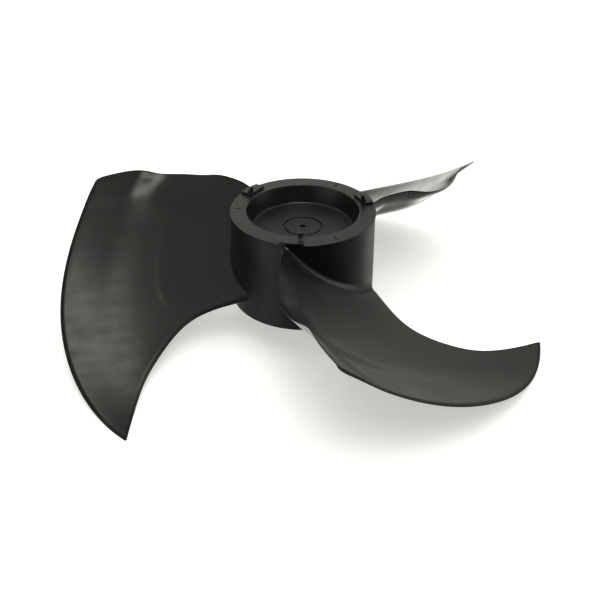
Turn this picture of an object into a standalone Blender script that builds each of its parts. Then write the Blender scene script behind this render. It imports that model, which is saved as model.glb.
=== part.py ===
"""A three-bladed axial fan of black plastic, of the kind that turns in an outdoor cooling unit.

The real fan is one moulding. It is modelled as the members that the moulding is made up of,
each a closed solid of its own: the top ring, outer wall, cup and shaft boss of the hub, the
ribs inside it, the stacking lugs on it and the three blades around it.

The shaft axis is Z and air leaves towards +Z. The fan turns anticlockwise seen from above,
so each blade leads with its low edge. It stands on the leading tips of its blades, and Z = 0
is the level of those tips. Blender works in metres, and MM turns the sizes below to metres.
"""
import math

import bmesh
import bpy
import numpy as np

MM = 0.001
DEG = math.pi / 180.0

# Driving dimensions, in millimetres and degrees
BLADE_COUNT = 3
ROUND_STEPS = 96          # flats around the large turned pieces
GAP = 0.3                 # between two pieces that touch

RIM_TOP = 147.0           # top of the hub above the blade tips
RIM_RADIUS = 80.6
RIM_THICKNESS = 2.2
HUB_HEIGHT = 105.4
WALL_TOP_RADIUS = 79.8    # the outer wall tapers, so that the mould opens
WALL_FOOT_RADIUS = 81.0
WALL_THICKNESS = 2.5

CUP_MOUTH_RADIUS = 62.4
CUP_FLOOR_RADIUS = 56.0
CUP_DEPTH = 20.0
CUP_WALL_THICKNESS = 2.4
FLOOR_THICKNESS = 3.0
GROOVE_RADIUS = 20.8
GROOVE_WIDTH = 1.6
GROOVE_DEPTH = 1.4
SHAFT_END_RADIUS = 3.2    # the shaft's threaded end comes up through the floor

BOSS_RADIUS = 13.0
BOSS_FOOT = 73.0          # height of the boss's lower face
BORE_RADIUS = 5.0
BORE_FLAT = 4.2           # from the axis to the flat of the D-shaped bore
BORE_STEPS = 32

RIB_COUNT = 6
RIB_THICKNESS = 2.4
RIB_FOOT_AT_WALL = 93.0
RIB_START_ANGLE = 20.0

# A stacking pad is a block with three straight sides, and follows the rim with its fourth
PAD_ANGLE = 145.7         # direction of its two end faces
PAD_INNER = 67.3          # distance of its inner side from the axis
PAD_START = -19.0         # its two ends, to the sides of that direction
PAD_END = 6.7
PAD_HEIGHT = 2.5
PAD_ARC_STEPS = 6

# A stacking tab is an upright gusset on the pad: upright towards the axis, sloping outwards
TAB_INNER = 68.0
TAB_OUTER = 73.6
TAB_RIDGE = 70.2          # where its short flat top ends
TAB_TOP = 9.5             # above the rim
TAB_WIDTH = 5.5
TAB_ANGLES = (147.8, 147.8, 135.5)   # the third lug has its tab at the pad's other end

# The blade's edges: distance from the axis, angle around it, height above the tips
TRAILING_EDGE = (
    (80, 135.5, 144), (92, 137, 148.5), (110, 138.5, 150.5), (130, 140, 149.5),
    (152, 141, 143.5), (176, 143, 139.6), (198, 146.6, 138.4), (207, 148.5, 139.7),
    (214, 149.9, 142.4), (222, 151.3, 144), (234, 152.6, 142.8), (248, 154.1, 139.6),
    (273, 157.4, 133),
)
LEADING_EDGE = (
    (80, 221.5, 66), (104, 212.5, 57), (140, 207.8, 43), (176, 212.3, 27.5), (210, 218.3, 14.5),
    (245, 225.5, 5.5), (278, 231.3, 1.8),
)
TRAILING_EDGE_AT_ROOT = 144.0   # the plain line that the trailing edge waves about
TRAILING_EDGE_AT_TIP = 133.0
WAVE_WIDTH = 48.0         # how far in from the trailing edge the wave dies out
WAVE_DRIFT = 0.9          # how far the outer lobe's foot runs outwards for each step inwards
WAVE_DRIFT_START = 7.0    # how far in from the edge it begins to
WAVE_DRIFT_FADE = (150.0, 190.0)
LIP_HEIGHT = 2.4          # how far the blade bows up beside its trailing edge
LIP_WIDTH = 50.0
LIP_FADE_IN = (85.0, 110.0)
LIP_FADE_OUT = (205.0, 180.0)
REACH_AT_TRAILING_EDGE = 272.0
REACH_AT_LEADING_EDGE = 277.5
REACH_BULGE = 0.8         # how far the outer edge bows out between its two corners
CAMBER_AT_ROOT = 10.7     # depth of the blade's hollow under its chord
CAMBER_AT_TIP = 28.0
FLATNESS_AT_ROOT = 2.0    # 2 gives a parabola, more gives a hollow with a flatter middle
FLATNESS_AT_TIP = 2.4
BLADE_THICKNESS = 3.0     # beside the hub, less the root's own thickening
TIP_THICKNESS = 2.0
ROOT_THICKNESS = 4.5
EDGE_THICKNESS = 1.8
EDGE_BAND = 0.05          # share of the chord over which an edge thins
ROOT_BAND = 0.12          # share of the span over which the root thickens
CORNER_CUT = 2.5
CHORD_STEPS = 20
SPAN_STEPS = 16


def plastic(name, colour, roughness):
    """Return a Principled material of moulded plastic."""
    material = bpy.data.materials.new(name)
    material.use_nodes = True
    shader = material.node_tree.nodes["Principled BSDF"]
    shader.inputs["Base Color"].default_value = (*colour, 1.0)
    shader.inputs["Roughness"].default_value = roughness
    shader.inputs["Metallic"].default_value = 0.0
    material.diffuse_color = (*colour, 1.0)
    return material


def place_object(name, mesh, material, angle=0.0):
    """Add a mesh to the scene as a named object, turned about the shaft axis."""
    if not mesh.materials:
        mesh.materials.append(material)
    piece = bpy.data.objects.new(name, mesh)
    piece.rotation_euler = (0.0, 0.0, angle * DEG)
    bpy.context.scene.collection.objects.link(piece)
    return piece


def finish_mesh(name, bm, sharp_angle=40.0):
    """Turn a bmesh into a mesh with its faces out, smooth except at sharp edges."""
    bmesh.ops.recalc_face_normals(bm, faces=bm.faces)
    mesh = bpy.data.meshes.new(name)
    bm.to_mesh(mesh)
    bm.free()
    mesh.shade_smooth()
    mesh.set_sharp_from_angle(angle=sharp_angle * DEG)
    return mesh


def turned_mesh(name, profile, steps=ROUND_STEPS):
    """Spin a closed profile of (radius, height) points about the shaft axis."""
    bm = bmesh.new()
    points = [bm.verts.new((radius * MM, 0.0, height * MM)) for radius, height in profile]
    edges = [bm.edges.new((points[i - 1], points[i])) for i in range(len(points))]
    bmesh.ops.spin(bm, geom=points + edges, cent=(0, 0, 0), axis=(0, 0, 1),
                   angle=2 * math.pi, steps=steps, use_merge=True)
    return finish_mesh(name, bm)


def plate_mesh(name, outline, thickness):
    """Extrude an outline of (radius, height) points into a plate that stands along +X."""
    bm = bmesh.new()
    half = thickness * MM / 2
    corners = [bm.verts.new((radius * MM, -half, height * MM)) for radius, height in outline]
    face = bm.faces.new(corners)
    grown = bmesh.ops.extrude_face_region(bm, geom=[face])
    moved = [item for item in grown["geom"] if isinstance(item, bmesh.types.BMVert)]
    bmesh.ops.translate(bm, verts=moved, vec=(0.0, 2 * half, 0.0))
    return finish_mesh(name, bm)


def wall_radius(height):
    """Outer radius of the hub's wall at a height."""
    foot = RIM_TOP - HUB_HEIGHT
    share = (height - foot) / HUB_HEIGHT
    return WALL_FOOT_RADIUS + (WALL_TOP_RADIUS - WALL_FOOT_RADIUS) * share


def cup_radius(height):
    """Inner radius of the cup's tapered wall at a height."""
    share = (RIM_TOP - height) / CUP_DEPTH
    return CUP_MOUTH_RADIUS + (CUP_FLOOR_RADIUS - CUP_MOUTH_RADIUS) * share


def smooth_curve(knots, values):
    """Return a function that passes smoothly through values at knots, straight at its ends."""
    knots = np.asarray(knots, float)
    values = np.asarray(values, float)
    gaps = np.diff(knots)
    slopes = np.diff(values) / gaps
    count = len(knots)
    system = np.eye(count)
    right = np.zeros(count)
    for i in range(1, count - 1):
        system[i, i - 1:i + 2] = gaps[i - 1], 2 * (gaps[i - 1] + gaps[i]), gaps[i]
        right[i] = 6 * (slopes[i] - slopes[i - 1])
    bend = np.linalg.solve(system, right)

    def value(x):
        i = int(np.clip(np.searchsorted(knots, x) - 1, 0, count - 2))
        u = x - knots[i]
        v = knots[i + 1] - x
        straight = (values[i] * v + values[i + 1] * u) / gaps[i]
        curve = bend[i] * v * (v * v - gaps[i] ** 2) + bend[i + 1] * u * (u * u - gaps[i] ** 2)
        return straight + curve / (6 * gaps[i])

    return value


trailing_angle = smooth_curve([p[0] for p in TRAILING_EDGE], [p[1] for p in TRAILING_EDGE])
trailing_height = smooth_curve([p[0] for p in TRAILING_EDGE], [p[2] for p in TRAILING_EDGE])
leading_angle = smooth_curve([p[0] for p in LEADING_EDGE], [p[1] for p in LEADING_EDGE])
leading_height = smooth_curve([p[0] for p in LEADING_EDGE], [p[2] for p in LEADING_EDGE])


def blade_camber(radius, chord):
    """Depth of the blade's hollow under its chord, at a distance from the axis."""
    root = TRAILING_EDGE[0][0]
    share = (radius - root) / (REACH_AT_LEADING_EDGE - root)
    depth = CAMBER_AT_ROOT + (CAMBER_AT_TIP - CAMBER_AT_ROOT) * share
    flatness = FLATNESS_AT_ROOT + (FLATNESS_AT_TIP - FLATNESS_AT_ROOT) * share
    return depth * (1 - abs(2 * chord - 1) ** flatness)


def fade(x, start, end):
    """0 before start and 1 after end, with a smooth rise between, or a fall if end is first."""
    share = min(1.0, max(0.0, (x - start) / (end - start)))
    return share * share * (3 - 2 * share)


def plain_trailing_height(radius):
    """Height that the trailing edge would have without its wave."""
    share = (radius - TRAILING_EDGE[0][0]) / (TRAILING_EDGE[-1][0] - TRAILING_EDGE[0][0])
    return TRAILING_EDGE_AT_ROOT + (TRAILING_EDGE_AT_TIP - TRAILING_EDGE_AT_ROOT) * share


def chord_length(radius):
    """Length of a section of the blade from edge to edge."""
    turn = (leading_angle(radius) - trailing_angle(radius)) * DEG
    return math.hypot(turn * radius, leading_height(radius) - trailing_height(radius))


def edge_wave(radius, distance):
    """How far the blade waves and bows up at a distance in from its trailing edge.

    The edge waves up and down along its length. The wave dies out towards the middle of the
    blade, and the foot of its outer lobe runs outwards as it does.
    """
    inwards = max(0.0, distance - WAVE_DRIFT_START)
    drift = WAVE_DRIFT * inwards * fade(radius, *WAVE_DRIFT_FADE)
    wave = trailing_height(radius - drift) - plain_trailing_height(radius - drift)
    wave *= max(0.0, 1 - distance / WAVE_WIDTH) ** 2
    bow = math.sin(math.pi * min(distance / LIP_WIDTH, 1.0)) ** 2
    return wave + LIP_HEIGHT * bow * fade(radius, *LIP_FADE_IN) * fade(radius, *LIP_FADE_OUT)


def section_point(radius, chord):
    """Angle in degrees and height of the blade's upper side.

    chord runs from 0 at the trailing edge to 1 at the leading edge.
    """
    angle = trailing_angle(radius) * (1 - chord) + leading_angle(radius) * chord
    height = plain_trailing_height(radius) * (1 - chord) + leading_height(radius) * chord
    height += edge_wave(radius, max(0.0, chord) * chord_length(radius))
    return angle, height - blade_camber(radius, chord)


def blade_reach(chord):
    """Distance of the blade's outer edge from the axis, less the cut of its two corners."""
    reach = REACH_AT_TRAILING_EDGE
    reach += (REACH_AT_LEADING_EDGE - REACH_AT_TRAILING_EDGE) * chord
    reach += REACH_BULGE * 4 * chord * (1 - chord)
    if chord in (0.0, 1.0):
        reach -= CORNER_CUT
    return reach


def blade_thickness(span, chord):
    """Thickness of the blade at a share of its span and chord."""
    from_edge = min(chord, 1 - chord, 1 - span) / EDGE_BAND
    full = BLADE_THICKNESS + (TIP_THICKNESS - BLADE_THICKNESS) * span
    full += (ROOT_THICKNESS - BLADE_THICKNESS) * max(0.0, 1 - span / ROOT_BAND)
    return EDGE_THICKNESS + (full - EDGE_THICKNESS) * min(1.0, from_edge)


def eased_shares(steps, ease):
    """Shares from 0 to 1 that crowd towards both ends by the factor ease."""
    even = [i / steps for i in range(steps + 1)]
    return [x - ease * math.sin(2 * math.pi * x) / (2 * math.pi) for x in even]


def blade_point(span, chord, lower):
    """A point of the blade's upper or lower side, in metres.

    Both sides of a section lie at one distance from the axis, so that the root follows the hub.
    """
    reach = blade_reach(chord)
    root = WALL_FOOT_RADIUS
    for _ in range(3):
        root = wall_radius(section_point(root, chord)[1]) + GAP
    radius = root + (reach - root) * span
    angle, height = section_point(radius, chord)
    if lower:
        step = 0.001
        before = section_point(radius, chord - step)
        after = section_point(radius, chord + step)
        along = (after[0] - before[0]) * DEG * radius
        rise = after[1] - before[1]
        length = math.hypot(along, rise)
        depth = blade_thickness(span, chord)
        angle += depth * rise / length / radius / DEG
        height -= depth * along / length
    return (radius * math.cos(angle * DEG) * MM, radius * math.sin(angle * DEG) * MM, height * MM)


def blade_mesh():
    """Build one blade from its upper and lower sheets, bridged all round."""
    bm = bmesh.new()
    chords = eased_shares(CHORD_STEPS, 0.6)
    spans = eased_shares(SPAN_STEPS, 0.6)
    for lower in (False, True):
        grid = [[bm.verts.new(blade_point(s, c, lower)) for c in chords] for s in spans]
        for row, above in zip(grid, grid[1:]):
            for i in range(CHORD_STEPS):
                bm.faces.new((row[i], row[i + 1], above[i + 1], above[i]))
    border = [edge for edge in bm.edges if edge.is_boundary]
    bmesh.ops.bridge_loops(bm, edges=border)
    return finish_mesh("blade", bm)


def add_hub_shell(material):
    """Add the hub's top ring, outer wall, cup wall and cup floor."""
    rim_foot = RIM_TOP - RIM_THICKNESS
    ring = [(CUP_MOUTH_RADIUS, RIM_TOP), (RIM_RADIUS, RIM_TOP),
            (RIM_RADIUS, rim_foot), (CUP_MOUTH_RADIUS, rim_foot)]
    place_object("top_ring", turned_mesh("top_ring", ring), material)

    top = rim_foot - GAP
    foot = RIM_TOP - HUB_HEIGHT
    wall = [(wall_radius(top), top), (wall_radius(foot), foot),
            (wall_radius(foot) - WALL_THICKNESS, foot), (wall_radius(top) - WALL_THICKNESS, top)]
    place_object("outer_wall", turned_mesh("outer_wall", wall), material)

    floor_top = RIM_TOP - CUP_DEPTH
    floor_foot = floor_top - FLOOR_THICKNESS
    cup = [(cup_radius(top), top), (cup_radius(top) + CUP_WALL_THICKNESS, top),
           (cup_radius(floor_foot) + CUP_WALL_THICKNESS, floor_foot),
           (cup_radius(floor_foot), floor_foot)]
    place_object("cup_wall", turned_mesh("cup_wall", cup), material)

    inner_groove = GROOVE_RADIUS - GROOVE_WIDTH / 2
    outer_groove = GROOVE_RADIUS + GROOVE_WIDTH / 2
    groove_floor = floor_top - GROOVE_DEPTH
    floor = [(SHAFT_END_RADIUS, floor_top), (inner_groove, floor_top),
             (inner_groove, groove_floor), (outer_groove, groove_floor),
             (outer_groove, floor_top), (cup_radius(floor_top) - GAP, floor_top),
             (cup_radius(floor_foot) - GAP, floor_foot), (SHAFT_END_RADIUS, floor_foot)]
    place_object("cup_floor", turned_mesh("cup_floor", floor, steps=48), material)


def add_boss(material):
    """Add the boss under the cup floor, with its D-shaped bore."""
    top = RIM_TOP - CUP_DEPTH - FLOOR_THICKNESS - GAP
    flat_half = math.acos(BORE_FLAT / BORE_RADIUS)
    bm = bmesh.new()
    rims = []
    for height in (BOSS_FOOT, top):
        outer = []
        bore = []
        for i in range(BORE_STEPS):
            turn = 2 * math.pi * i / BORE_STEPS
            outer.append(bm.verts.new((BOSS_RADIUS * MM * math.cos(turn),
                                       BOSS_RADIUS * MM * math.sin(turn), height * MM)))
            off = (turn + math.pi) % (2 * math.pi) - math.pi
            reach = BORE_FLAT / math.cos(off) if abs(off) < flat_half else BORE_RADIUS
            bore.append(bm.verts.new((reach * MM * math.cos(turn),
                                      reach * MM * math.sin(turn), height * MM)))
        rims.append((outer, bore))
    for i in range(BORE_STEPS):
        j = (i + 1) % BORE_STEPS
        (low_out, low_in), (high_out, high_in) = rims
        bm.faces.new((low_out[i], low_out[j], high_out[j], high_out[i]))
        bm.faces.new((low_in[j], low_in[i], high_in[i], high_in[j]))
        bm.faces.new((high_out[i], high_out[j], high_in[j], high_in[i]))
        bm.faces.new((low_out[j], low_out[i], low_in[i], low_in[j]))
    place_object("shaft_boss", finish_mesh("shaft_boss", bm), material)


def add_ribs(material):
    """Add the radial ribs that tie the boss, the cup and the outer wall together."""
    under_floor = RIM_TOP - CUP_DEPTH - FLOOR_THICKNESS - GAP
    under_rim = RIM_TOP - RIM_THICKNESS - GAP
    beside_cup = cup_radius(under_floor) + CUP_WALL_THICKNESS + GAP
    beside_cup_top = cup_radius(under_rim) + CUP_WALL_THICKNESS + GAP
    inside_wall = wall_radius(under_rim) - WALL_THICKNESS - GAP
    inside_wall_low = wall_radius(RIB_FOOT_AT_WALL) - WALL_THICKNESS - GAP
    outline = [(BOSS_RADIUS + GAP, BOSS_FOOT), (inside_wall_low, RIB_FOOT_AT_WALL),
               (inside_wall, under_rim), (beside_cup_top, under_rim),
               (beside_cup, under_floor), (BOSS_RADIUS + GAP, under_floor)]
    mesh = plate_mesh("rib", outline, RIB_THICKNESS)
    for i in range(RIB_COUNT):
        place_object(f"rib_{i + 1}", mesh, material, RIB_START_ANGLE + 360.0 / RIB_COUNT * i)


def pad_mesh():
    """Build a stacking pad, a raised block of the top ring."""
    bm = bmesh.new()
    foot = (RIM_TOP + GAP) * MM
    first = math.asin(PAD_START / RIM_RADIUS)
    last = math.asin(PAD_END / RIM_RADIUS)
    arc = [first + (last - first) * i / PAD_ARC_STEPS for i in range(PAD_ARC_STEPS + 1)]
    outline = [(PAD_INNER, PAD_END), (PAD_INNER, PAD_START)]
    outline += [(RIM_RADIUS * math.cos(a), RIM_RADIUS * math.sin(a)) for a in arc]
    face = bm.faces.new([bm.verts.new((x * MM, y * MM, foot)) for x, y in outline])
    grown = bmesh.ops.extrude_face_region(bm, geom=[face])
    moved = [item for item in grown["geom"] if isinstance(item, bmesh.types.BMVert)]
    bmesh.ops.translate(bm, verts=moved, vec=(0.0, 0.0, (PAD_HEIGHT - GAP) * MM))
    return finish_mesh("stacking_pad", bm)


def tab_mesh():
    """Build the small upright gusset of a stacking lug."""
    foot = RIM_TOP + PAD_HEIGHT + GAP
    top = RIM_TOP + TAB_TOP
    outline = [(TAB_INNER, foot), (TAB_OUTER, foot), (TAB_RIDGE, top), (TAB_INNER, top)]
    return plate_mesh("stacking_tab", outline, TAB_WIDTH)


def clear_scene():
    """Remove every object of the scene."""
    for item in list(bpy.data.objects):
        bpy.data.objects.remove(item, do_unlink=True)


def build():
    """Build the whole fan."""
    clear_scene()
    add_hub_shell(plastic("hub_plastic", (0.013, 0.013, 0.012), 0.42))
    inner_plastic = plastic("inner_plastic", (0.011, 0.011, 0.010), 0.5)
    add_boss(inner_plastic)
    add_ribs(inner_plastic)
    lug_plastic = plastic("lug_plastic", (0.015, 0.015, 0.014), 0.45)
    blade_plastic = plastic("blade_plastic", (0.014, 0.014, 0.013), 0.38)
    pad = pad_mesh()
    tab = tab_mesh()
    blade = blade_mesh()
    for i in range(BLADE_COUNT):
        turn = 360.0 / BLADE_COUNT * i
        place_object(f"stacking_pad_{i + 1}", pad, lug_plastic, turn + PAD_ANGLE)
        place_object(f"stacking_tab_{i + 1}", tab, lug_plastic, turn + TAB_ANGLES[i])
        place_object(f"blade_{i + 1}", blade, blade_plastic, turn)


build()
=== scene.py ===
"""Looks of a moulded axial fan: a hollow hub with a cup, three swept blades and stacking lugs.

The real fan is one piece of black plastic. Here the hub's shell, its boss and ribs, the lugs and
the blades are separate closed meshes that sink slightly into each other, so no gap shows. All
lengths in the classes are millimetres and become metres as a mesh gets its place.
"""
from __future__ import annotations

import logging
import math
from collections.abc import Callable, Iterator
from contextlib import contextmanager
from dataclasses import dataclass, field
from enum import Enum

import bmesh
import bpy
import numpy as np
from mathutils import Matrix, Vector


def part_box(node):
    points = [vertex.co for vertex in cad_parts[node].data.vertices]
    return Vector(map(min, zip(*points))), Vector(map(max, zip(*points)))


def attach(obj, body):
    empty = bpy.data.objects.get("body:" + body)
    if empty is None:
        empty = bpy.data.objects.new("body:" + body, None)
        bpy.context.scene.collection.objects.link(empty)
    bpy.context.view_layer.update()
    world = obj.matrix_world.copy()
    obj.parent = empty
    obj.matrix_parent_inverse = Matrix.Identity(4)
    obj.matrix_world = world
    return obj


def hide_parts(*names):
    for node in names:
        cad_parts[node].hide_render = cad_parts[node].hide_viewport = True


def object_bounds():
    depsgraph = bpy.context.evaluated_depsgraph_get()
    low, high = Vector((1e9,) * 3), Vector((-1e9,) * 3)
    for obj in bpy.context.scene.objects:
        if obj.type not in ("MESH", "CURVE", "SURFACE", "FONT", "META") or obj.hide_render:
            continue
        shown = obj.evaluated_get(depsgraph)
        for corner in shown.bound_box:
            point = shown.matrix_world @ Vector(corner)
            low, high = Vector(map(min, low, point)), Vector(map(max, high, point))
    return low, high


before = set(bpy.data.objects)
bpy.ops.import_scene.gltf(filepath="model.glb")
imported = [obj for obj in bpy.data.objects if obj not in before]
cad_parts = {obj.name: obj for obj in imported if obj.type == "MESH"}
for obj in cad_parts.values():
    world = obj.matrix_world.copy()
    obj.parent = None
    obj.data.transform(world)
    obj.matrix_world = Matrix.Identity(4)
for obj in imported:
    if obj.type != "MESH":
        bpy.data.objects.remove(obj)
CAD_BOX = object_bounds()

LOG = logging.getLogger("axial_fan")
MM = 0.001
BODY = "root"
BLADE_COUNT = 3
SINK = 0.4                # how far a piece sinks into the one that carries it
NEAR = 0.05               # how near a point counts as on a line or plane
RING_SLACK = 0.25         # how near an edge's middle counts as on a circle
WELD = 0.002              # how near two vertices of a seam become one
CUT_SLACK = 0.00001       # metres, how near a cutting plane a vertex counts as on it
FACING = 0.9              # a face whose normal has this share of a direction faces that way
LEVEL = 0.01              # an edge that rises by less than this share of its length is level
SQUARE = 0.1              # and one with less than this share along a line is square to it
CLEAN_GLOSS = 0.5         # the shader's specular level that follows from the index alone


class Slot(Enum):
    """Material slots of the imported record."""

    HUB = "hub_plastic"
    INNER = "inner_plastic"
    BLADE = "blade_plastic"


class Part(Enum):
    """Kinds of mesh element that can be selected in edit mode."""

    FACE = "FACE"
    EDGE = "EDGE"
    VERT = "VERT"


Piece = bpy.types.Object
Material = bpy.types.Material
Tree = bpy.types.NodeTree
Socket = bpy.types.NodeSocket
Pair = tuple[float, float]
Triple = tuple[float, float, float]
Test = Callable[[Vector, Vector], bool]      # of a place in millimetres and a direction


def top_of(node: str) -> float:
    """Return the height in millimetres of a CAD node's highest point."""
    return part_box(node)[1].z / MM


def foot_of(node: str) -> float:
    """Return the height in millimetres of a CAD node's lowest point."""
    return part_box(node)[0].z / MM


def reach_of(node: str) -> float:
    """Return how far in millimetres a round CAD node reaches from the axis."""
    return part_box(node)[1].x / MM


def deselect_everything() -> None:
    """Deselect every object, the CAD nodes included."""
    bpy.ops.object.select_all(action="DESELECT")


def choose(piece: Piece) -> None:
    """Make a piece the only selected object and the active one."""
    deselect_everything()
    piece.select_set(True)
    bpy.context.view_layer.objects.active = piece


def apply_place() -> None:
    """Put the selected piece's place, turn and scale into its mesh."""
    bpy.ops.object.transform_apply(location=True, rotation=True, scale=True)


def started_piece(name: str) -> Piece:
    """Name the primitive that was just added, and return it."""
    piece = bpy.context.object
    piece.name = name
    piece.data.name = name
    return piece


def add_cylinder(name: str, radius: float, foot: float, top: float, sides: int) -> Piece:
    """Add a cylinder about the shaft axis, from one height to another.

    Args:
        name: The piece's name.
        radius: Its radius in millimetres.
        foot: The height of its foot.
        top: The height of its top.
        sides: How many sides it has.

    Returns:
        The cylinder, selected and active.
    """
    deselect_everything()
    height = top - foot
    bpy.ops.mesh.primitive_cylinder_add(
        vertices=sides, radius=radius * MM, depth=height * MM,
        location=(0, 0, (foot + height / 2) * MM))
    return started_piece(name)


def add_block(name: str, low: Triple, high: Triple) -> Piece:
    """Add a block that reaches from one corner to the opposite one.

    Args:
        name: The piece's name.
        low: Its lowest corner in millimetres.
        high: Its highest corner.

    Returns:
        The block, selected and active, with its place in its mesh.
    """
    deselect_everything()
    bpy.ops.mesh.primitive_cube_add(
        size=1.0, location=[(a + b) / 2 * MM for a, b in zip(low, high)])
    block = started_piece(name)
    block.scale = [(b - a) * MM for a, b in zip(low, high)]
    apply_place()
    return block


@contextmanager
def editing(piece: Piece) -> Iterator[None]:
    """Open a piece in edit mode with nothing selected, and close it afterwards."""
    choose(piece)
    bpy.ops.object.mode_set(mode="EDIT")
    bpy.ops.mesh.select_all(action="DESELECT")
    yield
    bpy.ops.object.mode_set(mode="OBJECT")


def pick(piece: Piece, part: Part, test: Test) -> int:
    """Select the faces, edges or vertices of the edited piece that pass a test.

    Args:
        piece: The piece that is open in edit mode.
        part: Which kind of element is selected.
        test: Gets a place in millimetres and a direction, and says yes or no. The direction is
            a face's normal, an edge's direction or a vertex's normal.

    Returns:
        How many elements are selected.
    """
    bpy.ops.mesh.select_mode(type=part.value)
    mesh = bmesh.from_edit_mesh(piece.data)
    mesh.normal_update()
    matrix = piece.matrix_world
    turn = matrix.to_3x3()
    for item in mesh.verts:
        item.select = False
    mesh.select_flush(False)
    if part is Part.FACE:
        found = [f for f in mesh.faces
                 if test(matrix @ f.calc_center_median() / MM, turn @ f.normal)]
    elif part is Part.EDGE:
        found = [e for e in mesh.edges
                 if test(matrix @ ((e.verts[0].co + e.verts[1].co) / 2) / MM,
                         (turn @ (e.verts[1].co - e.verts[0].co)).normalized())]
    else:
        found = [v for v in mesh.verts if test(matrix @ v.co / MM, turn @ v.normal)]
    for item in found:
        item.select = True
    mesh.select_flush_mode()
    bmesh.update_edit_mesh(piece.data)
    return len(found)


def off_axis(place: Vector) -> float:
    """Return how far a place is from the shaft axis."""
    return math.hypot(place.x, place.y)


def flat_at(height: float, way: int) -> Test:
    """Return a test for faces that lie at a height and look up (1) or down (-1)."""
    return lambda place, normal: abs(place.z - height) < NEAR and normal.z * way > FACING


def circle_at(radius: float, height: float) -> Test:
    """Return a test for edges of a circle about the axis, at a radius and a height."""
    def test(place: Vector, direction: Vector) -> bool:
        """Say whether the edge is one of the circle's."""
        away = off_axis(place)
        return (abs(place.z - height) < NEAR and abs(away - radius) < RING_SLACK
                and abs(direction.z) < LEVEL
                and abs(direction.x * place.x + direction.y * place.y) < SQUARE * away)
    return test


def extrude_up(rise: float) -> None:
    """Extrude the selected faces up by so many millimetres, or down."""
    bpy.ops.mesh.extrude_region_move(TRANSFORM_OT_translate={"value": (0, 0, rise * MM)})


def scale_radius(height: float, share: float) -> None:
    """Scale the radius of what is selected at a height about the axis."""
    bpy.ops.transform.resize(value=(share, share, 1), center_override=(0, 0, height * MM))


def extrude_to(height: float, start: float, share: float = 1.0) -> None:
    """Extrude the selected flat faces from one height to another about the axis and taper them.

    Args:
        height: The height in millimetres that they go to.
        start: The height that they come from.
        share: The share of their radius that they keep.
    """
    extrude_up(height - start)
    scale_radius(height, share)


def move_line(piece: Piece, start: Pair, end: Pair) -> None:
    """Move the line across the edited piece that lies at an x and a height.

    Args:
        piece: The piece that is open in edit mode.
        start: The line's x and height in millimetres.
        end: Where it goes.
    """
    pick(piece, Part.VERT, lambda place, normal: abs(place.x - start[0]) < NEAR
         and abs(place.z - start[1]) < NEAR)
    bpy.ops.transform.translate(value=((end[0] - start[0]) * MM, 0, (end[1] - start[1]) * MM))


def inset_to(from_radius: float, to_radius: float, sides: int) -> None:
    """Inset the selected round face from one radius at its corners to another."""
    flat = math.cos(math.pi / sides)
    bpy.ops.mesh.inset(thickness=(from_radius - to_radius) * flat * MM, depth=0)


def round_edges(piece: Piece, test: Test, width: float, segments: int) -> None:
    """Round the edges of the edited piece that pass a test.

    Args:
        piece: The piece that is open in edit mode.
        test: Chooses the edges.
        width: How far the rounding reaches along each side, in millimetres.
        segments: How many facets the rounding has.
    """
    if not pick(piece, Part.EDGE, test):
        raise ValueError(f"{piece.name} has no edge to round here")
    bpy.ops.mesh.bevel(offset=width * MM, offset_type="OFFSET", segments=segments,
                       profile=0.5, affect="EDGES", clamp_overlap=True)


def apply_modifier(piece: Piece, kind: str, **settings: object) -> None:
    """Add a modifier to a piece with its settings, and apply it.

    Args:
        piece: The mesh object.
        kind: Blender's name of the modifier.
        **settings: Values of the modifier's properties.
    """
    choose(piece)
    modifier = piece.modifiers.new(kind.lower(), kind)
    for name, value in settings.items():
        setattr(modifier, name, value)
    bpy.ops.object.modifier_apply(modifier=modifier.name)


def soften(piece: Piece, width: float, segments: int, bend: float = 30.0) -> None:
    """Round every edge of a piece that bends more than so many degrees."""
    apply_modifier(piece, "BEVEL", width=width * MM, segments=segments, limit_method="ANGLE",
                   angle_limit=math.radians(bend))


def combine(piece: Piece, other: Piece, operation: str) -> None:
    """Cut another piece away (DIFFERENCE) or join it on (UNION), and remove it."""
    apply_modifier(piece, "BOOLEAN", operation=operation, object=other, solver="EXACT")
    bpy.data.objects.remove(other)


def slice_off(place: Triple, away: Triple) -> None:
    """Cut what lies beyond a plane off the edited piece, and close it there."""
    bpy.ops.mesh.select_all(action="SELECT")
    bpy.ops.mesh.bisect(plane_co=[c * MM for c in place], plane_no=away, use_fill=True,
                        clear_outer=True, threshold=CUT_SLACK)


def settle(piece: Piece, sharp: float = 40.0) -> None:
    """Put a piece's place into its mesh, and shade it smooth with its flats kept flat.

    Args:
        piece: The mesh object.
        sharp: Edges that bend more than this, in degrees, stay sharp.
    """
    choose(piece)
    apply_place()
    bpy.ops.object.shade_smooth_by_angle(angle=math.radians(sharp))
    apply_modifier(piece, "WEIGHTED_NORMAL", keep_sharp=True, weight=100)


def copy_turned(piece: Piece, name: str, degrees: float) -> Piece:
    """Copy a finished piece, mesh and all, and turn the copy about the shaft axis.

    Args:
        piece: The piece to copy.
        name: The copy's name.
        degrees: How far the copy is turned, anticlockwise from above.

    Returns:
        The copy, with its turn in its mesh.
    """
    choose(piece)
    bpy.ops.object.duplicate(linked=False)
    copy = started_piece(name)
    copy.rotation_euler = (0, 0, math.radians(degrees))
    apply_place()
    return copy


def repeat_around(first: Piece, name: str, count: int) -> list[Piece]:
    """Copy a ring's first piece evenly about the axis, and return them all."""
    return [first] + [copy_turned(first, f"{name}_{number}", 360 / count * (number - 1))
                      for number in range(2, count + 1)]


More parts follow.
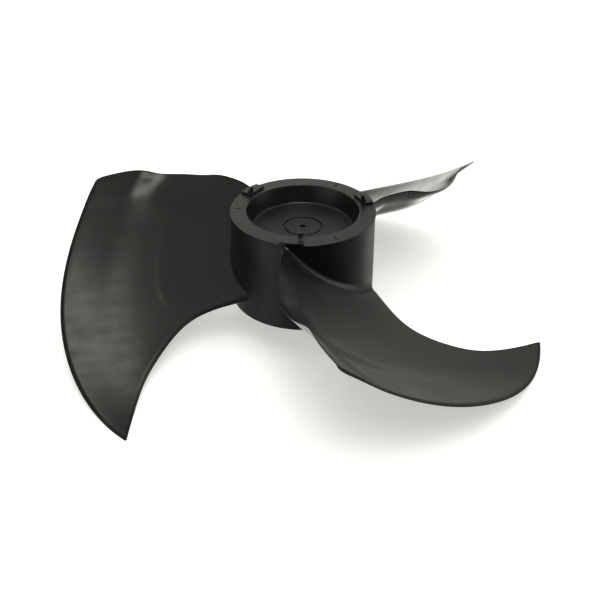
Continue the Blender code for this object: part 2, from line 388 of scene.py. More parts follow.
def mount(piece: Piece, slot: Slot, material: Material, *nodes: str) -> None:
    """Finish a piece: give it its material and body, and let it stand for CAD nodes.

    Args:
        piece: The finished mesh object.
        slot: Not used.
        material: Its material.
        *nodes: The CAD nodes that it stands for.
    """
    piece.data.materials.clear()
    piece.data.materials.append(material)
    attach(piece, BODY)
    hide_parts(*nodes)
    LOG.info("%s: %d faces, for %s", piece.name, len(piece.data.polygons), ", ".join(nodes))


def linear(colour: str) -> tuple[float, float, float, float]:
    """Turn an sRGB hex colour such as 1c1c1b into linear red, green, blue and alpha."""
    parts = [int(colour[i:i + 2], 16) / 255 for i in (0, 2, 4)]
    red, green, blue = (p / 12.92 if p <= 0.04045 else ((p + 0.055) / 1.055) ** 2.4
                        for p in parts)
    return red, green, blue, 1.0


def add_node(tree: Tree, kind: str, inputs: dict[str | int, object] | None = None,
             **settings: object) -> bpy.types.Node:
    """Add a shader node with its settings, plain inputs and links.

    Args:
        tree: The material's node tree.
        kind: The node's type.
        inputs: Values or other nodes' output sockets, by the input's name or number.
        **settings: Values of the node's own properties.

    Returns:
        The new node.
    """
    node = tree.nodes.new(kind)
    for name, value in settings.items():
        setattr(node, name, value)
    for name, value in (inputs or {}).items():
        if isinstance(value, Socket):
            tree.links.new(value, node.inputs[name])
        else:
            node.inputs[name].default_value = value
    return node


def map_range(tree: Tree, value: Socket, source: Pair = (0.0, 1.0), target: Pair = (0.0, 1.0),
              **settings: object) -> Socket:
    """Add a node that maps a value from one range to another; return the value."""
    return add_node(tree, "ShaderNodeMapRange", {
        "Value": value, "From Min": source[0], "From Max": source[1],
        "To Min": target[0], "To Max": target[1]}, **settings).outputs["Result"]


def add_noise(tree: Tree, place: Socket, size: float, detail: float,
              roughness: float = 0.5, distortion: float = 0.0) -> Socket:
    """Add a noise of a size in millimetres, and return it."""
    return add_node(tree, "ShaderNodeTexNoise", {
        "Vector": place, "Scale": 1 / (size * MM), "Detail": detail, "Roughness": roughness,
        "Distortion": distortion}).outputs["Fac"]


def combined(tree: Tree, operation: str, first: object, second: object) -> Socket:
    """Add a Math node of two values and return its result."""
    return add_node(tree, "ShaderNodeMath", {0: first, 1: second},
                    operation=operation).outputs["Value"]


def mixed(tree: Tree, kind: str, share: Socket, first: object, second: object) -> Socket:
    """Add a node that mixes two numbers (FLOAT) or colours (RGBA); return the mix."""
    low, high, result = {"FLOAT": (2, 3, 0), "RGBA": (6, 7, 2)}[kind]
    return add_node(tree, "ShaderNodeMix", {0: share, low: first, high: second},
                    data_type=kind).outputs[result]


def blank_material(name: str) -> tuple[Material, Tree, bpy.types.Node]:
    """Make a material and return it with its node tree and its shader."""
    material = bpy.data.materials.new(name)
    material.use_nodes = True
    tree = material.node_tree
    return material, tree, tree.nodes["Principled BSDF"]


@dataclass(frozen=True)
class MouldedPlastic:
    """Black polypropylene, injection moulded in a spark-eroded steel mould.

    The mould leaves a satin skin: soft, dim reflections of what is around, with a grain that is
    too fine to see alone. The grain is drawn coarser than the real one.
    """

    name: str
    colour: str                   # of the clean skin
    bloom: str                    # of the pale haze that handling and cooling leave
    roughness: float
    roughness_spread: float       # how much the haze roughens the skin
    cloud_size: float             # millimetres across one cloud of haze
    grain_size: float = 0.9       # millimetres
    grain_depth: float = 0.012    # millimetres
    ior: float = 1.49
    gloss_spread: float = 0.05    # how much the haze dulls the gloss, where 0.5 is the clean skin
    haze_range: Pair = (0.35, 0.75)  # part of the clouds' noise that is haze

    def material(self) -> Material:
        """Build the material.

        Returns:
            The material, whose grain and clouds read the row's own coordinates.
        """
        material, tree, shader = blank_material(self.name)
        place = add_node(tree, "ShaderNodeTexCoord").outputs["Object"]
        self.dress(tree, shader, place, self.haze(tree, place))
        return material

    def haze(self, tree: Tree, place: Socket) -> Socket:
        """Return how hazy the skin is, from 0 to 1, in soft clouds."""
        clouds = add_noise(tree, place, self.cloud_size, detail=4.0, roughness=0.55,
                           distortion=0.4)
        return map_range(tree, clouds, self.haze_range)

    def dress(self, tree: Tree, shader: bpy.types.Node, place: Socket, haze: Socket) -> None:
        """Link colour, roughness and grain to a shader.

        Args:
            tree: The material's node tree.
            shader: Its Principled shader.
            place: The coordinates that the grain reads.
            haze: How hazy the skin is, from 0 to 1.
        """
        grain = add_noise(tree, place, self.grain_size, detail=2.0)
        bump = add_node(tree, "ShaderNodeBump", {
            "Strength": 1.0, "Distance": self.grain_depth * MM, "Height": grain})
        looks = {
            "Base Color": mixed(tree, "RGBA", haze, linear(self.colour), linear(self.bloom)),
            "Roughness": map_range(tree, haze, target=(
                self.roughness, self.roughness + self.roughness_spread)),
            "Specular IOR Level": map_range(tree, haze, target=(
                CLEAN_GLOSS + self.gloss_spread, CLEAN_GLOSS - self.gloss_spread)),
            "Normal": bump.outputs["Normal"],
        }
        for name, socket in looks.items():
            tree.links.new(socket, shader.inputs[name])
        shader.inputs["IOR"].default_value = self.ior
        shader.inputs["Metallic"].default_value = 0.0


@dataclass(frozen=True)
class FlowedPlastic(MouldedPlastic):
    """The same plastic where it has flowed a long way, on the blades.

    The melt cools as it runs outwards, so the outer part of a blade is paler and cloudier than
    the part beside the hub, and faint streaks run the way it flowed. The pattern follows the
    blade through its UV map, which is in metres: along the chord, and out from the axis.
    """

    clear_reach: float = 168.0    # millimetres from the axis where the haze begins
    full_reach: float = 215.0     # and where it is full
    inner_haze: float = 0.5       # of the even skin beside the hub
    streak_width: float = 14.0
    streak_length: float = 45.0
    mark_range: Pair = (0.08, 0.46)  # part of both noises' product
    land_loss: float = 0.65       # share of the gloss that the edge lands lack

    def haze(self, tree: Tree, place: Socket) -> Socket:
        """Work out how hazy the skin is.

        Args:
            tree: The material's node tree.
            place: The coordinates that the clouds read.

        Returns:
            The haze, from 0 to 1: even beside the hub, clouded and streaked outside.
        """
        along = add_node(tree, "ShaderNodeUVMap", uv_map=Blade.uv_name).outputs["UV"]
        parts = add_node(tree, "ShaderNodeSeparateXYZ", {"Vector": along})
        outer = map_range(tree, parts.outputs["Y"],
                          (self.clear_reach * MM, self.full_reach * MM))
        clouds = add_noise(tree, place, self.cloud_size, detail=2.0, roughness=0.45,
                           distortion=0.3)
        stretched = add_node(tree, "ShaderNodeMapping", {
            "Vector": along, "Scale": (1 / (self.streak_width * MM),
                                       1 / (self.streak_length * MM), 1.0)})
        streaks = add_node(tree, "ShaderNodeTexNoise", {
            "Vector": stretched.outputs["Vector"], "Scale": 1.0, "Detail": 0.0})
        both = combined(tree, "MULTIPLY", clouds, streaks.outputs["Fac"])
        marks = map_range(tree, both, self.mark_range)
        return mixed(tree, "FLOAT", outer, self.inner_haze, marks)

    def dress(self, tree: Tree, shader: bpy.types.Node, place: Socket, haze: Socket) -> None:
        """Link the looks, with less gloss on the lands along the edges, where the mould parts.

        Args:
            tree: The material's node tree.
            shader: Its Principled shader.
            place: The coordinates that the grain reads.
            haze: How hazy the skin is, from 0 to 1.
        """
        super().dress(tree, shader, place, haze)
        land = add_node(tree, "ShaderNodeAttribute", attribute_name=Blade.land_name)
        kept = map_range(tree, land.outputs["Fac"], target=(1.0, 1 - self.land_loss))
        gloss = shader.inputs["Specular IOR Level"]
        tree.links.new(combined(tree, "MULTIPLY", gloss.links[0].from_socket, kept), gloss)


HUB_SKIN = MouldedPlastic("satin_black_polypropylene", "070707", "0f0f0e", 0.32, 0.08, 26.0)
INNER_SKIN = MouldedPlastic("plain_black_polypropylene", "101010", "151514", 0.42, 0.08, 30.0)
BLADE_SKIN = FlowedPlastic("flow_marked_polypropylene", "0c0c0c", "1c1c1a", 0.23, 0.06, 12.0,
                          grain_depth=0.006, gloss_spread=0.11)


@dataclass
class HubMember:
    """A member of the fan that meets the hub, with the hub's main sizes."""

    mouth: float = 62.4           # radius of the cup's mouth
    wall: float = 2.5             # thickness of the outer wall
    cup_wall: float = 2.4         # and of the cup's
    wall_taper: float = 1.2       # the outer wall is this much narrower on top
    gap: float = 0.3              # between the solids of the frame

    def __post_init__(self) -> None:
        """Read the hub's other main sizes from the frame."""
        self.rim_top = top_of("top_ring")
        self.rim_foot = foot_of("top_ring")
        self.rim = reach_of("top_ring")
        self.foot = foot_of("outer_wall")
        self.wall_foot = reach_of("outer_wall")
        self.wall_top = self.wall_foot - self.wall_taper
        self.floor_top = top_of("cup_floor")
        self.floor_foot = foot_of("cup_floor")
        self.floor_edge = reach_of("cup_floor")

    def cup_outside(self, floor_edge: float) -> Pair:
        """Return the radii of the cup's outer side.

        Args:
            floor_edge: The radius of the cup's floor.

        Returns:
            The radius level with the floor's underside and that level with the ring's.
        """
        slope = (self.mouth - floor_edge) / (self.rim_top - self.floor_top)
        return (floor_edge - slope * (self.floor_top - self.floor_foot) + self.cup_wall,
                self.mouth - slope * (self.rim_top - self.rim_foot) + self.cup_wall)


@dataclass
class HubShell(HubMember):
    """The hub's ring, outer wall and cup, as the one wall of plastic that they are."""

    sides: int = 192
    groove: float = 20.8          # radius of the groove's middle
    groove_width: float = 1.8
    groove_depth: float = 1.8
    shaft_hole: float = 3.2       # radius of the hole in the middle
    slot_count: int = 3
    slot_angle: float = 178.0     # of the first of the short slots in the ring
    slot_middle: float = 72.0     # distance of a slot's middle from the axis
    slot_length: float = 8.5
    slot_width: float = 1.7
    slot_depth: float = 0.9
    slot_edge: float = 0.45       # rounding of a slot's edges, as a share of its width

    def __post_init__(self) -> None:
        """Work out where the floor and its groove end."""
        super().__post_init__()
        self.cup_floor = self.floor_edge + self.gap
        self.groove_outer = self.groove + self.groove_width / 2
        self.groove_inner = self.groove - self.groove_width / 2

    def build(self) -> Piece:
        """Model the shell from a cylinder by insets and extrusions.

        Returns:
            The shell as one closed mesh.
        """
        shell = add_cylinder("hub_shell", self.wall_foot, self.foot, self.rim_foot, self.sides)
        with editing(shell):
            self.shape_top(shell)
            self.shape_underside(shell)
            self.round_off(shell)
        self.cut_slots(shell)
        settle(shell)
        return shell

    def shape_top(self, shell: Piece) -> None:
        """Raise the overhanging ring, sink the cup and its groove, and start the hole."""
        sides = self.sides
        pick(shell, Part.FACE, flat_at(self.rim_foot, 1))
        scale_radius(self.rim_foot, self.wall_top / self.wall_foot)
        extrude_to(self.rim_foot, self.rim_foot, self.rim / self.wall_top)
        extrude_to(self.rim_top, self.rim_foot)
        inset_to(self.rim, self.mouth, sides)
        extrude_to(self.floor_top, self.rim_top, self.cup_floor / self.mouth)
        inset_to(self.cup_floor, self.groove_outer, sides)
        inset_to(self.groove_outer, self.groove_inner, sides)
        inset_to(self.groove_inner, self.shaft_hole, sides)
        extrude_to(self.floor_foot + NEAR, self.floor_top)
        pick(shell, Part.FACE, lambda place, normal: abs(place.z - self.floor_top) < NEAR
             and self.groove_inner < off_axis(place) < self.groove_outer)
        extrude_to(self.floor_top - self.groove_depth, self.floor_top)

    def shape_underside(self, shell: Piece) -> None:
        """Hollow the shell from below and open the hole through the cup's floor."""
        sides = self.sides
        inner_foot = self.wall_foot - self.wall
        inner_top = self.wall_top - self.wall
        cup_foot, cup_top = self.cup_outside(self.cup_floor)
        pick(shell, Part.FACE, flat_at(self.foot, -1))
        inset_to(self.wall_foot, inner_foot, sides)
        extrude_to(self.rim_foot - NEAR, self.foot, inner_top / inner_foot)
        inset_to(inner_top, cup_top, sides)
        extrude_to(self.floor_foot, self.rim_foot - NEAR, cup_foot / cup_top)
        inset_to(cup_foot, self.shaft_hole, sides)
        pick(shell, Part.FACE, lambda place, normal: off_axis(place) < self.shaft_hole / 2
             and self.floor_foot - 2 * NEAR < place.z < self.floor_foot + 2 * NEAR)
        bpy.ops.mesh.delete(type="FACE")
        pick(shell, Part.EDGE, lambda place, way: off_axis(place) < self.shaft_hole + NEAR
             and abs(way.z) < LEVEL and abs(place.z - self.floor_foot) < 2 * NEAR)
        bpy.ops.mesh.bridge_edge_loops()

    def round_off(self, shell: Piece) -> None:
        """Round the edges and corners as the mould does."""
        roundings = (                         # radius and height, then width and facets
            (self.rim, self.rim_top, 0.4, 3),
            (self.rim, self.rim_foot, 0.35, 2),
            (self.mouth, self.rim_top, 0.5, 3),
            (self.cup_floor, self.floor_top, 1.3, 5),
            (self.wall_foot, self.foot, 0.7, 3),
            (self.wall_foot - self.wall, self.foot, 0.7, 3),
            (self.wall_top, self.rim_foot, 0.3, 2),
            (self.groove_outer, self.floor_top, 0.3, 2),
            (self.groove_inner, self.floor_top, 0.3, 2),
            (self.shaft_hole, self.floor_top, 0.4, 2),
        )
        for radius, height, width, segments in roundings:
            round_edges(shell, circle_at(radius, height), width, segments)

    def cut_slots(self, shell: Piece) -> None:
        """Cut the three short radial slots that the mould leaves in the ring."""
        half = (self.slot_length / 2, self.slot_width / 2, self.slot_depth)
        cutter = add_block("slot_cutter", (self.slot_middle - half[0], -half[1], -half[2]),
                           (self.slot_middle + half[0], half[1], half[2]))
        soften(cutter, self.slot_edge * self.slot_width, 3)
        for i in range(self.slot_count):
            turned = copy_turned(cutter, f"slot_cutter_{i}",
                                 self.slot_angle + 360 / self.slot_count * i)
            turned.location.z = self.rim_top * MM
            apply_place()
            combine(shell, turned, "DIFFERENCE")
        bpy.data.objects.remove(cutter)

    def dress(self) -> None:
        """Build the shell and put it in the place of the hub's four solids."""
        mount(self.build(), Slot.HUB, HUB_SKIN.material(),
              "top_ring", "outer_wall", "cup_wall", "cup_floor")


@dataclass
class ShaftSocket(HubMember):
    """The boss under the cup that takes the motor's shaft, and the ribs that hold it."""

    sides: int = 96
    bore: float = 5.0             # radius
    bore_flat: float = 4.2        # from the axis to the flat of the D-shaped bore
    edge: float = 0.6             # rounding of the boss's foot
    rib_count: int = 6
    rib_start: float = 20.0       # direction of the first rib, in degrees
    rib_thickness: float = 2.4
    rib_wall_foot: float = 93.0   # height of a rib's lower edge at the outer wall
    rib_edge: float = 0.5

    def __post_init__(self) -> None:
        """Read the boss's sizes from the frame."""
        super().__post_init__()
        self.boss = reach_of("shaft_boss")
        self.boss_foot = foot_of("shaft_boss")

    def build_boss(self) -> Piece:
        """Model the boss from a cylinder that a D-shaped cutter bores.

        Returns:
            The boss as one closed mesh.
        """
        top = self.floor_foot + SINK
        boss = add_cylinder("shaft_socket", self.boss, self.boss_foot, top, self.sides)
        with editing(boss):
            round_edges(boss, circle_at(self.boss, self.boss_foot), self.edge, 3)
        cutter = add_cylinder("bore_cutter", self.bore, 2 * self.boss_foot - top, top, self.sides)
        with editing(cutter):
            slice_off((self.bore_flat, 0, 0), (1, 0, 0))
            bpy.ops.mesh.select_all(action="SELECT")
            bpy.ops.mesh.normals_make_consistent(inside=False)
        apply_place()
        combine(boss, cutter, "DIFFERENCE")
        settle(boss)
        return boss

    def build_rib(self) -> Piece:
        """Model the first rib from a block, with a sloping foot and an arm up beside the cup.

        Returns:
            The rib as one closed mesh, in its place.
        """
        cup_low, cup_high = (radius - SINK for radius in self.cup_outside(self.floor_edge))
        start, end = self.boss - SINK, self.wall_top - self.wall + SINK
        top = self.floor_foot + SINK
        arm_top = self.rim_foot + SINK
        half = self.rib_thickness / 2
        rib = add_block("hub_rib_1", (start, -half, self.boss_foot), (end, half, top))
        with editing(rib):
            move_line(rib, (end, self.boss_foot), (end, self.rib_wall_foot))
            bpy.ops.mesh.select_all(action="SELECT")
            bpy.ops.mesh.bisect(plane_co=(cup_low * MM, 0, 0), plane_no=(1, 0, 0))
            pick(rib, Part.FACE, lambda place, normal: normal.z > FACING and place.x > cup_low)
            extrude_up(arm_top - top)
            move_line(rib, (cup_low, arm_top), (cup_high, arm_top))
        soften(rib, self.rib_edge, 2, bend=50)
        rib.rotation_euler = (0, 0, math.radians(self.rib_start))
        settle(rib)
        return rib

    def dress(self) -> None:
        """Build the boss and the ribs in the place of their solids."""
        material = INNER_SKIN.material()
        mount(self.build_boss(), Slot.INNER, material, "shaft_boss")
        ribs = repeat_around(self.build_rib(), "hub_rib", self.rib_count)
        for number, rib in enumerate(ribs, 1):
            mount(rib, Slot.INNER, material, f"rib_{number}")


@dataclass
class StackingLug(HubMember):
    """A pad on the ring with an upright gusset, which locates the next fan of a stack."""

    pad_angle: float = 145.7      # direction of the pad's two end faces
    pad_inner: float = 67.3       # distance of its inner side from the axis
    pad_start: float = -19.0      # where the end faces are, across that direction
    pad_end: float = 6.7
    tab_inner: float = 68.0       # the gusset's inner side
    tab_outer: float = 73.6       # and its outer side at the foot
    tab_waist: float = 71.5       # the outer side at the bend
    tab_waist_height: float = 2.2  # height of the bend above the pad
    tab_ridge: float = 70.2       # the outer side at the top
    tab_width: float = 4.9
    tab_angles: tuple[float, ...] = (147.8, 147.8, 135.5)  # before each lug's turn
    sides: int = 192
    sink: float = 1.3             # the pad reaches down past the rim's rounded edge
    pad_edge: float = 0.45        # rounding of the pad's edges
    tab_edge: float = 0.4         # and of the gusset's

    def __post_init__(self) -> None:
        """Read the lug's heights from the frame."""
        super().__post_init__()
        self.pad_top = top_of("stacking_pad_1")
        self.tab_top = top_of("stacking_tab_1")

    def pad(self) -> Piece:
        """Model the pad from a disc that three planes cut.

        Returns:
            The pad, along +X.
        """
        pad = add_cylinder("stacking_pad", self.rim, self.rim_top - self.sink, self.pad_top,
                           self.sides)
        cuts = (((self.pad_inner, 0, 0), (-1, 0, 0)), ((0, self.pad_start, 0), (0, -1, 0)),
                ((0, self.pad_end, 0), (0, 1, 0)))
        with editing(pad):
            for place, away in cuts:
                slice_off(place, away)
        soften(pad, self.pad_edge, 2, bend=50)
        return pad

    def tab(self, angle: float) -> Piece:
        """Model a gusset from a low block that spreads out at its foot and leans in above.

        Args:
            angle: Direction of the gusset in degrees.

        Returns:
            The gusset in its place.
        """
        half = self.tab_width / 2
        waist = self.pad_top + self.tab_waist_height
        tab = add_block("stacking_tab", (self.tab_inner, -half, self.pad_top - SINK),
                        (self.tab_outer, half, waist))
        with editing(tab):
            move_line(tab, (self.tab_outer, waist), (self.tab_waist, waist))
            pick(tab, Part.FACE, flat_at(waist, 1))
            extrude_up(self.tab_top - waist)
            move_line(tab, (self.tab_waist, self.tab_top), (self.tab_ridge, self.tab_top))
        soften(tab, self.tab_edge, 3)
        tab.rotation_euler = (0, 0, math.radians(angle))
        apply_place()
        return tab

    def build(self, number: int) -> Piece:
        """Join the pad and gusset of one lug.

        Args:
            number: Which lug, from 1.

        Returns:
            The lug in its place, as one closed mesh.
        """
        turn = 360 / BLADE_COUNT * (number - 1)
        pad = self.pad()
        pad.rotation_euler = (0, 0, math.radians(turn + self.pad_angle))
        apply_place()
        combine(pad, self.tab(turn + self.tab_angles[number - 1]), "UNION")
        pad.name = f"stacking_lug_{number}"
        pad.data.name = pad.name
        settle(pad)
        return pad

    def dress(self) -> None:
        """Build the three lugs in the place of the pads and tabs."""
        material = HUB_SKIN.material()
        for number in range(1, BLADE_COUNT + 1):
            mount(self.build(number), Slot.HUB, material,
                  f"stacking_pad_{number}", f"stacking_tab_{number}")


class SmoothCurve:
    """A natural cubic spline through a few points, worked out for whole arrays at once."""

    def __init__(self, knots: list[float], values: list[float]) -> None:
        """Solve the spline.

        Args:
            knots: Where the values are, rising.
            values: The values that the curve passes through.
        """
        self.knots = np.asarray(knots, float)
        self.values = np.asarray(values, float)
        self.gaps = np.diff(self.knots)
        slopes = np.diff(self.values) / self.gaps
        count = len(self.knots)
        system = np.eye(count)
        right = np.zeros(count)
        for i in range(1, count - 1):
            before, after = self.gaps[i - 1], self.gaps[i]
            system[i, i - 1:i + 2] = before, 2 * (before + after), after
            right[i] = 6 * (slopes[i] - slopes[i - 1])
        self.bend = np.linalg.solve(system, right)

    def __call__(self, x: np.ndarray) -> np.ndarray:
        """Return the curve's values at x."""
        i = np.clip(np.searchsorted(self.knots, x) - 1, 0, len(self.knots) - 2)
        gap = self.gaps[i]
        u = x - self.knots[i]
        v = self.knots[i + 1] - x
        straight = (self.values[i] * v + self.values[i + 1] * u) / gap
        curve = self.bend[i] * v * (v * v - gap ** 2) + self.bend[i + 1] * u * (u * u - gap ** 2)
        return straight + curve / (6 * gap)


def fade(x: np.ndarray, start: float, end: float) -> np.ndarray:
    """Return 0 before start and 1 after end, with a smooth rise between (or a fall)."""
    share = np.clip((x - start) / (end - start), 0.0, 1.0)
    return share * share * (3 - 2 * share)


def beside(distance: np.ndarray, width: float) -> np.ndarray:
    """Return 1 at an edge, falling straight to 0 at a width from it."""
    return np.maximum(0.0, 1 - distance / width)


def blend(ends: Pair, share: np.ndarray) -> np.ndarray:
    """Return what lies at a share of the way from the first value to the second."""
    return ends[0] + (ends[1] - ends[0]) * share


@dataclass
class Blade(HubMember):
    """A swept, cambered blade, by the same law as its solid, with the mould's fine shape.

    A point of the blade has a distance from the axis and a share of the chord, 0 at the high
    trailing edge and 1 at the low leading edge.
    """

    trailing: tuple[Triple, ...] = (
        (80, 135.5, 144), (92, 137, 148.5), (110, 138.5, 150.5), (130, 140, 149.5),
        (152, 141, 143.5), (176, 143, 139.6), (198, 146.6, 138.4), (207, 148.5, 139.7),
        (214, 149.9, 142.4), (222, 151.3, 144), (234, 152.6, 142.8), (248, 154.1, 139.6),
        (273, 157.4, 133))
    leading: tuple[Triple, ...] = (
        (80, 221.5, 66), (104, 212.5, 57), (140, 207.8, 43), (176, 212.3, 27.5),
        (210, 218.3, 14.5), (245, 225.5, 5.5), (278, 231.3, 1.8))
    trailing_plain: Pair = (144.0, 133.0)  # its height at root and tip without the wave
    wave_width: float = 48.0      # how far in from the trailing edge its wave dies out
    wave_drift: float = 0.9       # how much the outer lobe's foot runs outwards as it dies
    drift_start: float = 7.0      # how far in from the edge it begins to
    drift_rise: Pair = (150.0, 190.0)  # distance from the axis where it sets in
    lip_height: float = 2.4       # how far the blade bows up beside its trailing edge
    lip_width: float = 50.0       # how far in the bow reaches
    lip_rise: Pair = (85.0, 110.0)  # distance from the axis where it sets in
    lip_fall: Pair = (205.0, 180.0)  # and where it has died out
    ends: Pair = (272.0, 277.5)   # how far the trailing and the leading edge reach out
    bulge: float = 0.8            # how far the outer edge bows out between them
    camber: Pair = (10.7, 28.0)   # at the root and at the tip
    flatness: Pair = (2.0, 2.4)   # power of the camber's curve
    thickness: Pair = (3.0, 2.0)  # beside the hub and at the tip
    root_thickness: float = 4.5   # at the hub itself
    root_band: float = 0.12       # share of the span
    edge_thickness: Pair = (1.0, 1.9)  # trailing and leading edge
    edge_taper: float = 22.0      # how far in from the trailing edge it thins
    least: float = 1.0            # thickness of the thinnest edge
    land: Triple = (1.2, 3.8, 3.8)  # width of the dull edge land
    land_softness: float = 0.4    # how far to each side its limit blurs
    tip_taper: float = 18.0       # of the leading edge, where the fan stands
    tip_bevel: Pair = (9.0, 0.25)  # width and drop of the outer band
    tip_roll: Pair = (4.5, 1.35)  # and of its roll at the very edge
    leading_roll: Pair = (5.0, 1.0)  # width and drop of the leading edge's roll
    bead: Triple = (6.8, 5.2, 3.0)  # from the leading edge: start, dip, end
    bead_depth: float = 0.35      # of the dip along the leading edge
    bead_ledge: float = 0.3       # share of its depth that it keeps at the leading edge
    bead_start: Pair = (104.0, 124.0)  # distance from the axis where it sets in
    bead_fade: Pair = (195.0, 240.0)  # and where it dies out
    step_height: float = 0.35     # of the faint step across the blade
    step_width: float = 3.0
    step_ends: tuple[Pair, ...] = ((0.12, 0.2), (0.85, 0.7))  # of the chord
    step_line: tuple[Pair, ...] = (  # share of the chord, distance from the axis
        (0.0, 182), (0.19, 177), (0.4, 170), (0.61, 166), (0.78, 158), (1.0, 140))
    fillet: Pair = (4.5, 6.5)     # near the trailing and the leading edge
    fillet_share: Pair = (0.4, 0.75)  # of the chord, where it grows
    under_fillet: float = 2.0     # the most on the lower side
    least_fillet: float = 0.4     # where the ring's overhang leaves no room
    lip_clearance: float = 0.2    # between the fillet and the ring's overhang
    flare_reach: float = 12.0     # how far from an edge the fillet bends round it
    corner: float = 3.5           # rounding of the outer corners
    corner_reach: float = 15.0    # how far in from the outer edge it tells
    nose: Triple = (0.4, 1.2, 0.6)  # where the trailing, leading and outer edge round off
    tip_share: Pair = (0.75, 0.93)  # of the chord, where the tip thins
    tip_band: float = 16.0        # and how far in from the outer edge it does
    toe_relief: float = 0.55      # share of the outer edge's drop that the toe lacks
    toe_depth: float = 1.0        # how far the lower side swells along the leading edge
    usual_span: float = 190.0     # from the hub to the tip, which spaces the rows
    passes: int = 3               # in which the laws that depend on each other settle
    chord_steps: int = 96         # columns of the blade's grid between its edge rows
    span_steps: int = 76          # and rows
    edge_rows: tuple[float, ...] = (0, 0.03, 0.1, 0.2, 0.3, 0.5, 0.8, 1.15, 1.5, 2.0, 2.8, 3.6,
                                    4.5, 5.4, 6.3, 7.2, 8.1, 9.0, 10.2, 12.0, 14.0)
    root_rows: tuple[float, ...] = (0, 0.15, 0.4, 0.75, 1.2, 1.8, 2.6, 3.6, 4.8, 6.2, 8.0)
    uv_name: str = field(default="surface", init=False)
    land_name: str = field(default="edge_land", init=False)

    def __post_init__(self) -> None:
        """Solve the edges' curves."""
        super().__post_init__()
        self.edge_angle = [SmoothCurve([p[0] for p in edge], [p[1] for p in edge])
                           for edge in (self.trailing, self.leading)]
        self.edge_height = [SmoothCurve([p[0] for p in edge], [p[2] for p in edge])
                            for edge in (self.trailing, self.leading)]

    def section(self, radius: np.ndarray, chord: np.ndarray) -> tuple[np.ndarray, np.ndarray]:
        """Return the angle in degrees and the height of the blade's plain upper side."""
        angle = self.edge_angle[0](radius) * (1 - chord) + self.edge_angle[1](radius) * chord
        plain = self.plain_edge(radius)
        distance = np.maximum(0.0, chord) * self.chord_length(radius)
        inwards = np.maximum(0.0, distance - self.drift_start)
        source = radius - self.wave_drift * inwards * fade(radius, *self.drift_rise)
        wave = self.edge_height[0](source) - self.plain_edge(source)
        wave = wave * beside(distance, self.wave_width) ** 2
        bow = np.sin(math.pi * np.minimum(distance / self.lip_width, 1.0)) ** 2
        bow = bow * fade(radius, *self.lip_rise) * fade(radius, *self.lip_fall)
        wave = wave + self.lip_height * bow
        height = plain * (1 - chord) + self.edge_height[1](radius) * chord + wave
        innermost = self.trailing[0][0]
        share = (radius - innermost) / (self.ends[1] - innermost)
        power = blend(self.flatness, share)
        depth = blend(self.camber, share) * (1 - np.abs(2 * chord - 1) ** power)
        return angle, height - depth

    def plain_edge(self, radius: np.ndarray) -> np.ndarray:
        """Return how high the trailing edge would be without its wave."""
        inner, outer = self.trailing[0][0], self.trailing[-1][0]
        share = (radius - inner) / (outer - inner)
        return blend(self.trailing_plain, share)

    def chord_length(self, radius: np.ndarray) -> np.ndarray:
        """Return the length of a section from edge to edge."""
        turn = np.radians(self.edge_angle[1](radius) - self.edge_angle[0](radius))
        fall = self.edge_height[1](radius) - self.edge_height[0](radius)
        return np.hypot(turn * radius, fall)

    def root(self, chord: np.ndarray) -> np.ndarray:
        """Return how far from the axis the blade meets the hub's tapered wall."""
        radius = np.full_like(chord, self.wall_foot)
        for _ in range(self.passes):
            height = self.section(radius, chord)[1]
            share = (height - self.foot) / (self.rim_top - self.foot)
            radius = self.wall_foot - self.wall_taper * share
        return radius

    def reach(self, chord: np.ndarray) -> np.ndarray:
        """Return how far from the axis the blade's outer edge is."""
        return blend(self.ends, chord) + self.bulge * 4 * chord * (1 - chord)

    def roundness(self, distance: np.ndarray, nose: float) -> np.ndarray:
        """Return the share of its thickness that the blade has near a rounded edge."""
        left = 1 - np.clip(distance / nose, 0.0, 1.0)
        return np.sqrt(np.maximum(0.0, 1 - left * left))

    def grid(self) -> tuple[np.ndarray, ...]:
        """Lay out the rows and columns of points.

        Returns:
            Arrays by row and column: the distance from the axis, the share of the chord, the
            distances to the trailing, leading and outer edge and to the hub, and the flare of
            the fillet there on the upper and the lower side, all in millimetres.
        """
        edge = np.array(self.edge_rows, float)
        roots = np.array(self.root_rows, float)
        middle = np.linspace(0, 1, self.chord_steps + 1)[1:-1]
        inner = np.linspace(0, 1, self.span_steps + 1)[1:-1]
        columns = len(edge) * 2 + len(middle)
        guess = np.concatenate([edge * 0, middle, edge * 0 + 1])
        span = self.usual_span
        shares = np.concatenate([
            roots / span,
            roots[-1] / span + (1 - (roots[-1] + edge[-1]) / span) * inner,
            1 - edge[::-1] / span])
        chord = np.tile(guess, (len(shares), 1))
        share = np.tile(shares[:, None], (1, columns))
        for _ in range(self.passes):
            start = self.root(np.clip(chord, 0, 1))
            end = self.reach(np.clip(chord, 0, 1))
            radius = start + (end - start) * share
            length = self.chord_length(radius)
            near = edge[None, :] / length[:, :1]
            far = 1 - edge[None, ::-1] / length[:, -1:]
            between = near[:, -1:] + (far[:, :1] - near[:, -1:]) * middle[None, :]
            chord = np.concatenate([near, between, far], axis=1)
        from_hub = radius - start
        to_tip = end - radius
        to_trailing = chord * length
        to_leading = (1 - chord) * length
        size = blend(self.fillet, fade(chord, *self.fillet_share))
        flare_low = self.flare(from_hub, np.minimum(size, self.under_fillet))
        room = self.rim_foot - self.lip_clearance - self.section(start, chord)[1]
        room = np.clip(room, self.least_fillet, size)
        flare_up = self.flare(from_hub, room)
        side = np.minimum(flare_low, flare_up)
        chord = chord + side / length * (fade(to_leading, self.flare_reach, 0)
                                         - fade(to_trailing, self.flare_reach, 0))
        cut = self.corner * (1 - self.roundness(np.minimum(to_trailing, to_leading),
                                                self.corner))
        radius = radius - cut * np.clip(1 - to_tip / self.corner_reach, 0, 1)
